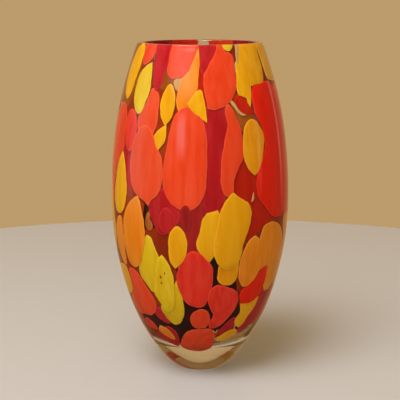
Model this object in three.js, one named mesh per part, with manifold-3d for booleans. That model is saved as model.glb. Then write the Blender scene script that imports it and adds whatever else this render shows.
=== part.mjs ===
// A hand blown art glass vase: a closed-bottomed bubble of clear glass (the inner gather), a layer
// of coloured glass chips picked up on it, and a thick clear casing gathered over the chips.
// Millimetres, +Z up, origin at the middle of the flat foot. The side with -Y is the front.

import * as THREE from 'three';
import { mergeVertices } from 'three/addons/utils/BufferGeometryUtils.js';
import Module from 'manifold-3d';

// ---- driving dimensions ----

const HEIGHT = 300;
const SEGMENTS = 48;
const CASING_WALL = 2.4;
const CHIP_THICK = 1.0;
const GATHER_WALL = 2.3;
const GAP = 0.5;
const SEAM = 0.6;
const CHIP_TOP = HEIGHT - 0.4;
const RIM_ROUND = 0.9;
const FOOT_ROUND = 1.2;

// The outer wall: [height, radius].
const OUTER = [
  [0, 21.6], [6, 29.4], [14, 36.6], [26, 45.3], [42, 54.5], [62, 63.3], [86, 71.0], [115, 77.4],
  [145, 80.6], [175, 80.8], [205, 78.7], [235, 74.6], [265, 67.6], [300, 56.3],
];

// The rounded bottom of the colour layer: [station, radius, height]. Above the last row the station
// is the height and the layer runs at an even depth inside the outer wall.
const BOWL = [
  [0, 0, 27], [12, 13.9, 27.9], [24, 27.5, 31.2], [36, 39.8, 37.7], [48, 49.9, 47.2],
  [60, 57.5, 58.9],
];
const BOWL_TOP = 72;
const COLOUR_DEPTH = CASING_WALL + GAP + CHIP_THICK / 2;

// ---- profiles ----

// A smooth curve through rows [x, y], with the slope at each row taken from its neighbours.
function smoothTable(rows) {
  const slope = rows.map((row, i) => {
    const before = rows[Math.max(i - 1, 0)];
    const after = rows[Math.min(i + 1, rows.length - 1)];
    return (after[1] - before[1]) / (after[0] - before[0]);
  });
  return (x) => {
    let i = 0;
    while (i < rows.length - 2 && x > rows[i + 1][0]) i += 1;
    const span = rows[i + 1][0] - rows[i][0];
    const t = (x - rows[i][0]) / span;
    const t2 = t * t;
    const t3 = t2 * t;
    return (2 * t3 - 3 * t2 + 1) * rows[i][1] + (t3 - 2 * t2 + t) * span * slope[i]
      + (3 * t2 - 2 * t3) * rows[i + 1][1] + (t3 - t2) * span * slope[i + 1];
  };
}

const outerRadius = smoothTable(OUTER);
const bowlStations = [0, 9, 18, 27, 36, 45, 54, 63];
const upperStations = [BOWL_TOP, 94, 116, 138, 160, 182, 204, 226, 248, 270, 286, HEIGHT];
const layerRadius = smoothTable([
  ...BOWL.map(([station, radius]) => [station, radius]),
  ...upperStations.map((z) => [z, outerRadius(z) - COLOUR_DEPTH]),
]);
const layerHeight = smoothTable([
  ...BOWL.map(([station, , height]) => [station, height]),
  ...upperStations.map((z) => [z, z]),
]);

// The point of the wall at a station, moved out from the middle of the colour layer.
function wallPoint(station, out) {
  const step = 0.5;
  const low = Math.max(station - step, 0);
  const dr = layerRadius(station + step) - layerRadius(low);
  const dz = layerHeight(station + step) - layerHeight(low);
  const length = Math.hypot(dr, dz);
  const flat = station === 0;
  return new THREE.Vector2(
    layerRadius(station) + (flat ? 0 : out * dz / length),
    layerHeight(station) - (flat ? out : out * dr / length),
  );
}

// A profile line at an even distance from the colour layer, from the pole up to the rim.
function wallLine(out) {
  const points = [];
  for (const station of bowlStations) points.push(wallPoint(station, out));
  for (const station of upperStations.slice(0, -1)) points.push(wallPoint(station, out));
  points[0].x = 0;
  const rim = wallPoint(HEIGHT, out);
  points.push(new THREE.Vector2(rim.x, HEIGHT));
  return points;
}

// ---- closed bodies ----

function lathe(profile) {
  const geometry = new THREE.LatheGeometry(profile, SEGMENTS);
  geometry.rotateX(Math.PI / 2);
  return weld(geometry);
}

// Keeps position only, merges the shared vertices and drops the triangles with no area.
function weld(geometry) {
  geometry.deleteAttribute('normal');
  geometry.deleteAttribute('uv');
  const merged = mergeVertices(geometry, 1e-4);
  const index = merged.index.array;
  const kept = [];
  for (let i = 0; i < index.length; i += 3) {
    const [a, b, c] = [index[i], index[i + 1], index[i + 2]];
    if (a !== b && b !== c && c !== a) kept.push(a, b, c);
  }
  merged.setIndex(kept);
  return facingOut(merged);
}

// Turns a closed mesh right side out.
function facingOut(geometry) {
  const at = geometry.attributes.position;
  const index = geometry.index.array;
  const [a, b, c] = [new THREE.Vector3(), new THREE.Vector3(), new THREE.Vector3()];
  let volume = 0;
  for (let i = 0; i < index.length; i += 3) {
    a.fromBufferAttribute(at, index[i]);
    b.fromBufferAttribute(at, index[i + 1]);
    c.fromBufferAttribute(at, index[i + 2]);
    volume += a.dot(b.cross(c));
  }
  if (volume < 0) {
    const turned = [];
    for (let i = 0; i < index.length; i += 3) turned.push(index[i], index[i + 2], index[i + 1]);
    geometry.setIndex(turned);
  }
  return geometry;
}

// ---- coloured chips ----

// A chip's outline is hand drawn as [angle, station] points: the angle in degrees round the vase
// from the front, positive towards +X, and the station up the wall.
const EDGE_STEP = 10;
const FEWEST_POINTS = 12;
const RING_WIDTH = 10;
const RING_HEIGHT = 26;
const BOWL_RING = 8;
const BOWL_REACH = 40;

function smoothOutline(points) {
  const around = layerRadius(150) * Math.PI / 180;
  const curve = new THREE.CatmullRomCurve3(
    points.map(([angle, station]) => new THREE.Vector3(angle * around, station, 0)),
    true,
    'centripetal',
  );
  const count = Math.max(Math.round(curve.getLength() / EDGE_STEP), FEWEST_POINTS);
  return curve.getSpacedPoints(count).slice(0, count)
    .map((p) => new THREE.Vector2(p.x / around, p.y));
}

// How many rings a chip needs to follow the wall: the wall curves most round the vase and in the bowl.
function ringCount(outline) {
  const [left, right, low, high] = span(outline);
  const width = (right - left) * layerRadius((low + high) / 2) * Math.PI / 180;
  const tall = (high - low) / 2;
  const flattest = low < BOWL_REACH ? BOWL_RING : RING_HEIGHT;
  return Math.max(2, Math.ceil(width / 2 / RING_WIDTH), Math.ceil(tall / flattest));
}

// Moves each outline point outwards by a distance in millimetres.
function grownOutline(outline, distance) {
  if (distance === 0) return outline;
  const middle = outline.reduce((sum, p) => sum + p.y, 0) / outline.length;
  const around = layerRadius(middle) * Math.PI / 180;
  const flat = outline.map((p) => new THREE.Vector2(p.x * around, p.y));
  const area = THREE.ShapeUtils.area(flat);
  return flat.map((p, i) => {
    const before = flat[(i + flat.length - 1) % flat.length];
    const after = flat[(i + 1) % flat.length];
    const along = after.clone().sub(before).normalize().multiplyScalar(Math.sign(area) * distance);
    return new THREE.Vector2((p.x + along.y) / around, p.y - along.x);
  });
}

// A closed slab that follows the wall: rings of points shrink towards the chip's heart on its
// outside and its inside, and a band of triangles joins the two faces round the edge.
function chipGeometry(outline, heart, out, inn) {
  const count = outline.length;
  const rings = ringCount(outline);
  const position = [];
  const place = (angle, station, depth) => {
    const wall = wallPoint(THREE.MathUtils.clamp(station, 2, CHIP_TOP), depth);
    const turn = THREE.MathUtils.degToRad(angle);
    position.push(wall.x * Math.sin(turn), -wall.x * Math.cos(turn), wall.y);
  };
  for (const depth of [out, inn]) {
    for (let ring = rings; ring > 0; ring -= 1) {
      const share = ring / rings;
      for (const p of outline) {
        place(heart[0] + (p.x - heart[0]) * share, heart[1] + (p.y - heart[1]) * share, depth);
      }
    }
    place(heart[0], heart[1], depth);
  }
  const face = count * rings + 1;
  const index = [];
  for (let i = 0; i < count; i += 1) {
    const j = (i + 1) % count;
    for (const side of [0, 1]) {
      const base = side * face;
      const triangles = [[face - 1 - count + i, face - 1 - count + j, face - 1]];
      for (let start = 0; start < face - 1 - count; start += count) {
        const [a, b, c, d] = [start + i, start + j, start + count + j, start + count + i];
        triangles.push([a, b, c], [a, c, d]);
      }
      for (const [a, b, c] of triangles) {
        if (side === 0) index.push(base + a, base + b, base + c);
        else index.push(base + a, base + c, base + b);
      }
    }
    index.push(i, face + i, face + j, i, face + j, j);
  }
  const geometry = new THREE.BufferGeometry();
  geometry.setAttribute('position', new THREE.Float32BufferAttribute(position, 3));
  geometry.setIndex(index);
  return facingOut(mergeVertices(geometry, 1e-4));
}

const wasm = await Module();
wasm.setup();

function toSolid(geometry) {
  return new wasm.Manifold(new wasm.Mesh({
    numProp: 3,
    vertProperties: new Float32Array(geometry.attributes.position.array),
    triVerts: new Uint32Array(geometry.index.array),
  }));
}

function toGeometry(solid) {
  const mesh = solid.getMesh();
  const geometry = new THREE.BufferGeometry();
  geometry.setAttribute('position', new THREE.BufferAttribute(mesh.vertProperties, 3));
  geometry.setIndex(new THREE.BufferAttribute(mesh.triVerts, 1));
  return geometry;
}

function span(outline) {
  const xs = outline.map((p) => p.x);
  const ys = outline.map((p) => p.y);
  return [Math.min(...xs), Math.max(...xs), Math.min(...ys), Math.max(...ys)];
}

function near(a, b) {
  const clear = a[2] > b[3] + 1 || b[2] > a[3] + 1;
  if (clear) return false;
  for (const turn of [-360, 0, 360]) {
    if (a[0] < b[1] + turn + 1 && b[0] + turn < a[1] + 1) return true;
  }
  return false;
}

// Glass colours: [colour, roughness, opacity].
const GLASS = {
  clear: [0xe6e0d4, 0.04, 0.35],
  lemon: [0xe6c81e, 0.12, 1],
  golden: [0xe8a80c, 0.12, 1],
  orange: [0xe87814, 0.12, 1],
  coral: [0xe8441c, 0.12, 1],
  red: [0xcc2418, 0.12, 1],
  crimson: [0x9c1420, 0.1, 0.85],
  amber: [0xa85a14, 0.1, 0.75],
};

// The chips, those that lie on top first: a name, a colour, the outline, and the heart where the
// middle of the outline isn't the best place for it.
const CHIPS = [
  // front, from the rim down
  ['golden_rim_lance', 'golden', [[-69, 297], [-75, 288], [-77, 277], [-75, 264], [-70, 254],
    [-65, 251], [-61, 258], [-59, 270], [-57, 284], [-58.5, 297]]],
  ['lemon_leaf', 'lemon', [[-43, 284], [-49, 281], [-54, 275], [-56, 265], [-55.5, 254], [-52, 244],
    [-48, 240.5], [-44.5, 243], [-42, 251], [-40, 260], [-40, 268], [-41.5, 278]]],
  ['crimson_rim_lance', 'crimson', [[-41.5, 304], [-41, 290], [-39.5, 276], [-37, 264], [-34, 260],
    [-31, 265], [-28.5, 277], [-27.5, 290], [-27.5, 304]]],
  ['orange_arrow', 'orange', [[-1, 299], [-5, 288], [-9, 278], [-14, 272], [-16.5, 262],
    [-17, 252], [-15, 246], [-11, 249], [-8, 251], [-4, 259], [-1.5, 268], [-0.5, 284]]],
  ['coral_rim_drop', 'coral', [[-26.5, 304], [-27, 288], [-27, 277], [-22, 271], [-16, 273],
    [-11, 274], [-7, 282], [-4, 292], [-3.5, 304]]],
  ['crimson_rim_wedge', 'crimson', [[1, 304], [0.8, 290], [1.2, 282], [3, 278], [6, 282], [11, 288],
    [14, 296], [15, 304]]],
  ['coral_shoulder', 'coral', [[3, 277], [7, 283], [13, 290], [21, 294], [28, 291], [29, 280],
    [28, 266], [25, 257], [19, 250], [11, 247], [5, 249], [3, 262]]],
  ['golden_shoulder', 'golden', [[35, 304], [33, 289], [30, 284], [29, 272], [28, 262], [29, 257],
    [35, 255], [36, 251], [38, 246.5], [40, 256], [41, 264], [50, 266], [57, 266], [60, 280],
    [60, 292], [61, 304]], [39, 276]],
  ['gold_leaf', 'golden', [[-22, 267], [-26, 263], [-28.5, 254], [-28.5, 245], [-27, 238],
    [-24, 234.5], [-21, 236.5], [-18.5, 243], [-17.8, 252], [-18.5, 261]]],
  ['gold_slip', 'golden', [[-23, 232.5], [-26.5, 231], [-30.5, 226], [-33, 219], [-34, 211],
    [-32, 206], [-29.5, 206], [-27, 213], [-24, 218], [-22.5, 225]]],
  ['coral_heart', 'coral', [[-9, 249], [-15, 245], [-19, 236], [-21, 222], [-23, 205], [-24, 190],
    [-22.5, 176], [-18, 167], [-12, 162], [-8, 161], [-3, 164], [1, 170], [3.5, 180], [4.5, 200],
    [4.5, 220], [3, 234], [-1, 243], [-5, 248]]],
  ['coral_column', 'coral', [[-46, 224], [-50, 212], [-51, 198], [-50, 185], [-46, 174], [-42, 170],
    [-37, 167], [-34, 162.5], [-32, 168], [-28, 173], [-25, 180], [-24.6, 192], [-26, 205],
    [-31, 214], [-35, 224], [-41, 226]]],
  ['coral_band', 'coral', [[-38, 261], [-33, 259], [-30.5, 254], [-30, 245], [-30, 236], [-33, 229],
    [-38, 227], [-43, 228], [-47, 234], [-46, 240], [-42, 247], [-40, 256]]],
  ['rose_leaf', 'red', [[-56, 244], [-60, 238], [-61, 226], [-59, 216], [-56, 210], [-52, 208],
    [-49.5, 214], [-47.5, 224], [-48, 233], [-50.5, 241]]],
  ['red_flank', 'coral', [[-70, 248], [-78, 243], [-85, 232], [-88, 215], [-86, 198], [-80, 188],
    [-74, 183], [-70.5, 188], [-66, 198], [-63, 207], [-60.5, 211], [-61.5, 224], [-61, 236],
    [-64, 245]], [-73, 215]],
  ['gold_lance', 'golden', [[-61, 206], [-64, 202], [-67, 193], [-69, 183], [-70.5, 172],
    [-71, 161], [-68, 153], [-64, 151], [-60, 153], [-56, 160], [-54, 170], [-54, 180], [-56, 192],
    [-58, 201]]],
  ['orange_leaf', 'orange', [[-43, 170], [-46, 169], [-51, 163], [-56, 154], [-58.5, 143],
    [-59.5, 130], [-58.5, 117], [-56, 108], [-50, 105], [-46, 109], [-43, 120], [-38.5, 133],
    [-37.5, 140], [-38.5, 152], [-40.5, 164]], [-49, 138]],
  ['crimson_pair', 'crimson', [[-31.5, 167], [-27, 171], [-24, 176], [-22, 169], [-18, 165],
    [-15, 161], [-14.8, 152], [-18, 148], [-20, 142], [-24, 140], [-28, 143], [-31, 149],
    [-33, 158]]],
  ['ruby_shadow', 'crimson', [[-14, 160], [-8, 159], [0, 162], [2.5, 158], [0.5, 150], [-2.8, 142],
    [-3.5, 132], [-4, 127.5], [-7, 126], [-7.5, 131], [-8.5, 139], [-10.5, 146], [-14, 150]],
    [-6, 150]],
  ['lemon_lance_left', 'lemon', [[-36, 137.5], [-39, 132], [-42, 120], [-46.5, 106], [-46.5, 99],
    [-43, 92], [-39, 86], [-36, 88], [-33.5, 98], [-32, 108], [-30, 118], [-31, 129],
    [-33.5, 136]]],
  ['lemon_lance_middle', 'lemon', [[-25.5, 121], [-29, 117], [-31, 108], [-33, 97], [-35.5, 87],
    [-35, 82], [-32, 75.5], [-28, 75.5], [-24.5, 81], [-21.5, 88], [-18.8, 97], [-19, 105],
    [-21, 113]]],
  ['lemon_lance_right', 'lemon', [[-16.3, 98.5], [-18.5, 94], [-21, 86], [-24, 79], [-28, 74],
    [-31.5, 73.5], [-32.5, 69], [-30, 62], [-26, 57], [-21, 55.5], [-16, 59], [-13, 67],
    [-12.5, 75], [-13.5, 85], [-15, 93]], [-22, 69]],
  ['gold_oval', 'golden', [[-14, 148], [-17, 146], [-19.5, 140], [-20.5, 131], [-20.5, 121],
    [-19, 113], [-16.5, 109.5], [-13.5, 113], [-9.5, 121], [-8, 130], [-9, 139], [-11, 145]]],
  ['gold_cluster_left', 'golden', [[3, 161], [10.5, 162.5], [11.5, 157], [11.5, 150], [11, 140],
    [10, 128], [9, 122], [6, 116], [3, 119], [0, 124], [-1.5, 128], [-2.5, 133], [-1, 140],
    [0.5, 147], [1.5, 154]]],
  ['gold_cluster_right', 'golden', [[21, 176.5], [17, 171], [13, 162], [11.8, 150], [11.2, 138],
    [10.5, 128], [11, 119], [13, 113], [12.5, 106], [12, 100], [15, 95], [20, 93], [24, 95],
    [26, 103], [27, 114], [28.5, 128], [31, 139], [33.5, 150], [34, 158], [31, 167], [25, 172]],
  [20, 136]],
  ['orange_drop', 'orange', [[38, 136.5], [34, 134], [30.5, 128], [28.7, 118], [28, 110],
    [28, 102], [30, 93], [33, 90], [38, 92], [42, 98], [43, 106], [42, 118], [41.5, 128],
    [40.5, 134]]],
  ['orange_flank', 'orange', [[50, 145.5], [45, 143], [42.8, 135], [42.8, 125], [44, 112],
    [45, 107], [52, 107.5], [55.5, 98], [55.5, 86], [58, 81], [64, 81], [70, 88], [74, 100],
    [72, 115], [69, 130], [64, 140], [57, 145]], [59, 112]],
  ['red_oval', 'red', [[-4, 126], [-8, 124], [-13, 115], [-16, 104], [-16, 94], [-13.5, 84],
    [-10, 77], [-4, 73.5], [2, 74], [5.5, 79], [8, 90], [9, 102], [8, 112], [4, 118], [0, 123]]],
  ['red_kidney', 'red', [[9, 92.5], [13, 94.5], [20, 92], [27, 87], [30, 80], [29, 71], [25, 63],
    [20, 57], [13, 52.5], [8.5, 54], [8.5, 59], [10.5, 65], [8.5, 71], [6.5, 78], [6.8, 86]],
  [18, 75]],
  ['coral_disc', 'coral', [[-8, 60], [-7, 66.5], [-2, 71], [4, 71], [8, 66], [8, 60], [5, 54.5],
    [0, 53], [-5, 54.5]]],
  ['red_triangle', 'red', [[31, 86], [35, 90], [43, 97], [48, 105], [53, 106], [54.5, 96],
    [53.5, 86], [51, 78], [42, 73.5], [34, 74.5], [31, 80]]],
  ['gold_wedge', 'golden', [[33, 71.5], [42, 72], [52, 77], [50, 67], [46, 60], [43, 53],
    [39.5, 49.5], [35, 53], [32, 58], [34.5, 65]]],
  ['ruby_flank', 'crimson', [[55, 79], [63, 79], [71, 77], [72, 68], [64, 58], [55, 50],
    [47, 44], [42, 46.5], [45, 52], [49, 60], [53, 69]], [58, 66]],
  ['coral_low_left', 'coral', [[-60, 101], [-54, 103], [-48, 99], [-43, 89], [-38, 80],
    [-36.5, 74], [-39, 66], [-45, 61.5], [-55, 60], [-64, 60], [-70, 66], [-68, 74], [-62, 80],
    [-60, 90]], [-51, 80]],
  ['coral_bottom', 'coral', [[-10, 50], [0, 51.5], [8, 52.5], [13, 50], [15.5, 42], [17, 32],
    [18, 24], [10, 16], [0, 13], [-15, 14], [-28, 19], [-29, 27], [-23, 35], [-17, 44]]],
  ['red_right_wall', 'red', [[43, 264], [52, 266], [66, 266], [74, 252], [77, 225], [76, 195],
    [72, 168], [64, 149], [55, 150], [45, 161], [38.5, 174], [39, 190], [44, 202], [47.8, 218],
    [45, 232], [40.8, 243], [41, 256]]],
  ['gold_eye', 'golden', [[36, 237], [32, 233], [29.5, 224], [28.8, 212], [30, 201], [33, 194],
    [37, 189.5], [40, 192], [43, 200], [46, 212], [47, 222], [44, 231], [40, 236]]],
  ['coral_stripe', 'coral', [[19, 251], [17.5, 244], [18.5, 233], [16, 220], [14, 207], [13, 192],
    [13.5, 181], [16.5, 174], [20.5, 176], [21.5, 187], [24, 197], [27.5, 204], [28, 217],
    [28, 230], [25, 240], [22, 247]], [21, 212]],
  ['ruby_stripe', 'crimson', [[6, 246], [12, 246], [16, 244], [17.5, 236], [16, 224], [13.5, 210],
    [12, 196], [12.5, 182], [13.5, 174], [12, 167], [10, 164], [4, 163], [1, 165], [2, 172],
    [4.5, 185], [5.2, 205], [5.2, 225], [5, 238]], [9, 205]],
  ['gold_rim_right', 'golden', [[62, 304], [61, 287], [63, 271], [72, 268], [84, 269], [92, 280],
    [94, 304]]],
  // back, seen through the mouth and from behind
  ['amber_rim_left', 'amber', [[-79, 304], [-79.5, 286], [-81, 265], [-82, 254], [-90, 250],
    [-100, 262], [-103, 282], [-102, 304]]],
  ['red_rim_back', 'red', [[184, 304], [183, 288], [187, 272], [196, 262], [205, 268],
    [209.5, 284], [210.5, 304]]],
  ['ruby_rim_back', 'crimson', [[212, 304], [212, 286], [215, 270], [222, 262], [228, 270],
    [231, 286], [231, 304]]],
  ['wine_rim_back', 'crimson', [[233, 304], [233, 284], [235, 266], [241, 258], [248, 266],
    [251, 284], [251, 304]]],
  ['coral_rim_back', 'coral', [[144, 304], [145, 286], [149, 272], [157, 264], [165, 272],
    [169, 288], [170, 304]]],
  ['garnet_rim_back', 'crimson', [[106, 304], [104, 288], [107, 270], [116, 258], [129, 262],
    [139, 280], [141, 304]]],
  ['coral_back_heart', 'coral', [[176, 250], [168, 244], [163, 228], [161, 208], [163, 190],
    [169, 178], [177, 174], [185, 180], [190, 196], [191, 216], [188, 234], [183, 246]]],
  ['lemon_back_leaf', 'lemon', [[150, 252], [145, 244], [141, 228], [141, 212], [145, 200],
    [150, 196], [155, 204], [158, 218], [158, 234], [155, 246]]],
  ['red_back_column', 'red', [[126, 246], [117, 244], [110, 230], [107, 208], [109, 186],
    [116, 170], [125, 166], [133, 174], [137, 192], [137, 214], [135, 234]]],
  ['gold_back_leaf', 'golden', [[207, 250], [201, 242], [197, 226], [196, 208], [199, 196],
    [205, 192], [211, 202], [215, 218], [215, 234], [212, 245]]],
  ['coral_back_column', 'coral', [[233, 244], [226, 238], [221, 222], [219, 202], [221, 184],
    [227, 174], [235, 174], [242, 184], [246, 202], [246, 222], [241, 238]]],
  ['lemon_back_lance', 'lemon', [[222, 166], [217, 158], [213, 144], [210, 126], [209, 110],
    [213, 104], [218, 112], [223, 126], [227, 142], [228, 156]]],
  ['orange_back_leaf', 'orange', [[249, 166], [241, 160], [235, 144], [232, 126], [233, 108],
    [240, 98], [248, 102], [254, 116], [257, 136], [256, 154]]],
  ['gold_back_oval', 'golden', [[183, 166], [175, 162], [169, 150], [166, 134], [168, 118],
    [175, 110], [184, 112], [192, 122], [195, 138], [193, 154]]],
  ['red_back_oval', 'red', [[142, 156], [133, 152], [126, 138], [124, 120], [128, 104], [137, 96],
    [147, 100], [154, 114], [156, 132], [152, 148]]],
  ['orange_back_flank', 'orange', [[104, 160], [96, 154], [90, 140], [87, 122], [89, 104],
    [97, 94], [107, 98], [114, 112], [117, 132], [113, 150]]],
  ['coral_back_low', 'coral', [[180, 96], [168, 94], [158, 84], [153, 70], [158, 58], [170, 52],
    [184, 54], [194, 64], [198, 78], [192, 90]]],
  ['gold_back_low', 'golden', [[122, 88], [112, 86], [104, 76], [101, 64], [107, 54], [118, 50],
    [129, 56], [135, 68], [132, 80]]],
];

const CHIP_OUT = CHIP_THICK / 2;
const CUT_DEPTH = 1.2;

const group = new THREE.Group();
group.name = 'art_glass_vase';

function addMesh(name, geometry, glass) {
  const [color, roughness, opacity] = GLASS[glass];
  const material = new THREE.MeshStandardMaterial({
    color,
    roughness,
    metalness: 0,
    opacity,
    transparent: opacity < 1,
  });
  const mesh = new THREE.Mesh(geometry, material);
  mesh.name = name;
  group.add(mesh);
}

// ---- the outer casing: flat foot, thick clear bottom, thin wall, rounded rim ----

const casingProfile = [
  new THREE.Vector2(0, 0),
  new THREE.Vector2(OUTER[0][1] - FOOT_ROUND, 0),
  new THREE.Vector2(OUTER[0][1] - FOOT_ROUND * 0.2, 0.4),
];
for (const z of [1.6, 7, 14, 22, 32, 44, 57, ...upperStations.slice(0, -1)]) {
  casingProfile.push(new THREE.Vector2(outerRadius(z), z));
}
casingProfile.push(
  new THREE.Vector2(outerRadius(HEIGHT - RIM_ROUND), HEIGHT - RIM_ROUND),
  new THREE.Vector2(outerRadius(HEIGHT) - RIM_ROUND * 0.3, HEIGHT - RIM_ROUND * 0.3),
  new THREE.Vector2(outerRadius(HEIGHT) - RIM_ROUND, HEIGHT),
  ...wallLine(CHIP_OUT + GAP).reverse(),
);
addMesh('outer_casing', lathe(casingProfile), 'clear');

// ---- the inner gather: the bubble the chips were picked up on ----

const gatherProfile = [
  ...wallLine(-CHIP_OUT - SEAM),
  ...wallLine(-CHIP_OUT - SEAM - GATHER_WALL).reverse(),
];
addMesh('inner_gather', lathe(gatherProfile), 'clear');

// ---- the chips: each is cut back from those laid over it ----

const laid = [];
for (const [name, glass, points, heartPoint] of CHIPS) {
  const outline = smoothOutline(points);
  const middle = outline.reduce((sum, p) => sum.add(p), new THREE.Vector2());
  const heart = heartPoint ?? [middle.x / outline.length, middle.y / outline.length];
  const reach = span(outline);
  let solid = toSolid(chipGeometry(outline, heart, CHIP_OUT, -CHIP_OUT));
  let cut = false;
  for (const other of laid) {
    if (near(reach, other.reach)) {
      const before = solid.volume();
      const trimmed = solid.subtract(other.cutter);
      if (trimmed.volume() < before - 1e-3) {
        solid = trimmed;
        cut = true;
      }
    }
  }
  if (cut) {
    const pieces = solid.decompose().sort((a, b) => b.volume() - a.volume());
    solid = pieces[0];
  }
  const grown = grownOutline(outline, GAP);
  const cutter = toSolid(chipGeometry(grown, heart, CHIP_OUT + CUT_DEPTH, -CHIP_OUT - CUT_DEPTH));
  laid.push({ reach, cutter });
  addMesh(`chip_${name}`, toGeometry(solid), glass);
}

export default group;
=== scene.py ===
# %% [markdown]
# The vase is made hot, in three layers: a first bubble of clear glass (the gather), coloured glass
# chips rolled onto it, and a last coat of clear glass (the casing) that leaves a heavy clear heel.
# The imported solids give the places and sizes. This script gives the same pieces their real surfaces:
# smooth walls, soft-edged chips with streaks in them, and glass that bends light.

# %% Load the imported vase
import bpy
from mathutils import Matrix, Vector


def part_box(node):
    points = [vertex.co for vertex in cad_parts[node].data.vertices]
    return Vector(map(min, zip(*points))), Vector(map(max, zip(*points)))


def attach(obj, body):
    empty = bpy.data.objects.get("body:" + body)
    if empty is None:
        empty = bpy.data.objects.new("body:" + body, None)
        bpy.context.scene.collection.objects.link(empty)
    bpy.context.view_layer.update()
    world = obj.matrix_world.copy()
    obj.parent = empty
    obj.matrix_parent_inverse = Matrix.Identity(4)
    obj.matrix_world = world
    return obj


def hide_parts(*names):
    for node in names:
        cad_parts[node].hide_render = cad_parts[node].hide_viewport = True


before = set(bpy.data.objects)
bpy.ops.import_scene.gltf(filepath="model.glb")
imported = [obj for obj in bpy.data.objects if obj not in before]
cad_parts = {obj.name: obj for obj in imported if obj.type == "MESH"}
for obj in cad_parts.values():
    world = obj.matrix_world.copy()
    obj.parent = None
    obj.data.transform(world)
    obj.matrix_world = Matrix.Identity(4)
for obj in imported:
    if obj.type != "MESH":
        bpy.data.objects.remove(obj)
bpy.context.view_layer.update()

# %% [markdown]
# Sizes are written in millimetres, as a glass maker would say them, and turned into metres where a
# shape is made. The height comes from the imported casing.

# %% Tools and units
import math
import random

import bmesh
import bpy
import numpy as np
from mathutils import Vector
from mathutils.geometry import interpolate_bezier

MM = 0.001
foot_low, rim_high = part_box("outer_casing")
HEIGHT = (rim_high.z - foot_low.z) / MM
print("height", round(HEIGHT, 2), "mm, widest", round((rim_high.x - foot_low.x) / MM, 2), "mm")

# %% [markdown]
# A blown form has one long fair curve from foot to rim. A few heights and radii are enough to hold it,
# with a cubic spline between them: a spline has no kink, and a kink in a glass wall shows at once as a
# broken reflection. Change one row of the table and the whole wall follows.

# %% The outer wall
OUTER = [
    (0, 21.6), (6, 29.4), (14, 36.6), (26, 45.3), (42, 54.5), (62, 63.3), (86, 71.0), (115, 77.4),
    (145, 80.6), (175, 80.8), (205, 78.7), (235, 74.6), (265, 67.6), (300, 56.3),
]


def fair_curve(rows):
    """A natural cubic spline through rows (x, y), as a function of x."""
    x, y = (np.array(column, float) for column in zip(*rows))
    gap, rise = np.diff(x), np.diff(y) / np.diff(x)
    bend = np.eye(len(x))
    pull = np.zeros(len(x))
    for i in range(1, len(x) - 1):
        bend[i, i - 1:i + 2] = gap[i - 1], 2 * (gap[i - 1] + gap[i]), gap[i]
        pull[i] = 6 * (rise[i] - rise[i - 1])
    curve = np.linalg.solve(bend, pull)

    def at(value):
        value = np.asarray(value, float)
        i = np.clip(np.searchsorted(x, value) - 1, 0, len(x) - 2)
        t, h = value - x[i], gap[i]
        slope = rise[i] - h * (2 * curve[i] + curve[i + 1]) / 6
        return y[i] + t * (slope + t * (curve[i] / 2 + t * (curve[i + 1] - curve[i]) / (6 * h)))

    return at


outer_radius = fair_curve(OUTER)
print("radius half way up", round(float(outer_radius(150)), 2), "mm")

# %% [markdown]
# The chips lie in one thin layer inside the wall. It runs at an even depth under the outer skin, and
# low down it turns in to the rounded bottom of the bubble, above the clear heel. A place on it is given
# by an angle round the vase (0 in front, positive to the right) and a station: the station is the
# height on the wall, and goes on down to 0 at the middle of the bubble's bottom.

# %% The colour layer
COLOUR_DEPTH = 3.4
HEEL = 27
LAYER_TOP = 299.5
BOWL = [
    (-24, -27.5, 31.2), (-12, -13.9, 27.9), (0, 0, HEEL), (12, 13.9, 27.9), (24, 27.5, 31.2),
    (36, 39.8, 37.7), (48, 49.9, 47.2), (60, 57.5, 58.9),
]
wall_rows = [(z, float(outer_radius(z)) - COLOUR_DEPTH, z) for z in range(75, 316, 15)]
layer_radius = fair_curve([(s, r) for s, r, z in BOWL + wall_rows])
layer_height = fair_curve([(s, z) for s, r, z in BOWL + wall_rows])


def wall_point(station, out):
    """Radius and height, in mm, of the wall at a station, moved out from the colour layer's middle."""
    station, near = np.asarray(station, float), 0.25
    dr = layer_radius(station + near) - layer_radius(station - near)
    dz = layer_height(station + near) - layer_height(station - near)
    length = np.hypot(dr, dz)
    return layer_radius(station) + out * dz / length, layer_height(station) - out * dr / length


for station in (0, 60, 150):
    print("station", station, "->", [round(float(v), 1) for v in wall_point(station, 0)])

# %% [markdown]
# The camera stands a metre in front and a little above the rim, tilted down, with a long lens, so the
# upright sides stay nearly parallel.

# %% Camera
camera_data = bpy.data.cameras.new("view")
camera_data.sensor_width = 36
camera_data.lens = 99.64
TILT_DOWN = 10.72
camera = bpy.data.objects.new("view", camera_data)
camera.location = (0, -1.0, 0.3454)
camera.rotation_euler = (math.radians(90 - TILT_DOWN), 0, 0)
bpy.context.scene.collection.objects.link(camera)
bpy.context.scene.camera = camera
print("camera at", tuple(camera.location))

# %% [markdown]
# A material is a tree of nodes. Most of them differ only in their kind, their settings and what feeds
# them, so a node is made by one helper, which takes a value or another node's output for each input.
# A ramp is needed so often that it gets a helper of its own.

# %% Making nodes
def fill(tree, node, inputs):
    """Gives each input of a node its value, or links the output that feeds it."""
    for name, value in inputs.items():
        socket = node.inputs[name]
        if isinstance(value, bpy.types.NodeSocket):
            tree.links.new(value, socket)
        else:
            socket.default_value = (*value, 1) if socket.type == "RGBA" else value
    return node


def add_node(tree, kind, inputs=None, **settings):
    node = tree.nodes.new(f"ShaderNode{kind}")
    for name, value in settings.items():
        setattr(node, name, value)
    return fill(tree, node, inputs or {})


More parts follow.
